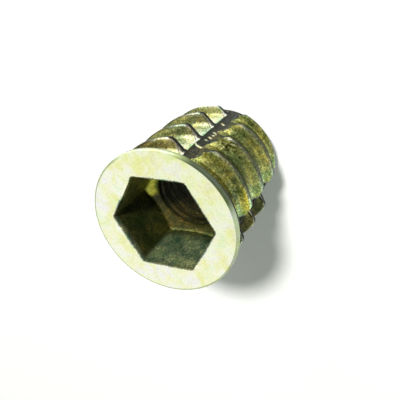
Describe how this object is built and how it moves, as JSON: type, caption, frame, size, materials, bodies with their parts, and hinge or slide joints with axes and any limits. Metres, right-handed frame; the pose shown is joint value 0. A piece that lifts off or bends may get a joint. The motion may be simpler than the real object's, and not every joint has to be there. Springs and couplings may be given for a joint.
{
  "type": "threaded insert",
  "caption": "Screw-in wood insert with a thin round flange, a broken coarse outside thread, a hexagon drive socket and a metric threaded hole for a bolt.",
  "frame": {"origin": "middle of the tip end, on the axis of the hole", "axes": "+Z along the axis from the tip to the flange face; a corner of the hexagon and the middle of a row of fins lie on +X; the middle of another row lies on -Y, which is the front"},
  "size_m": [0.013, 0.013, 0.015],
  "materials": {
    "insert": "yellow chromate over a zinc casting, glossy, pale on the flange face and olive between the fins"
  },
  "bodies": {
    "root": {"insert": "insert"}
  },
  "joints": []
}
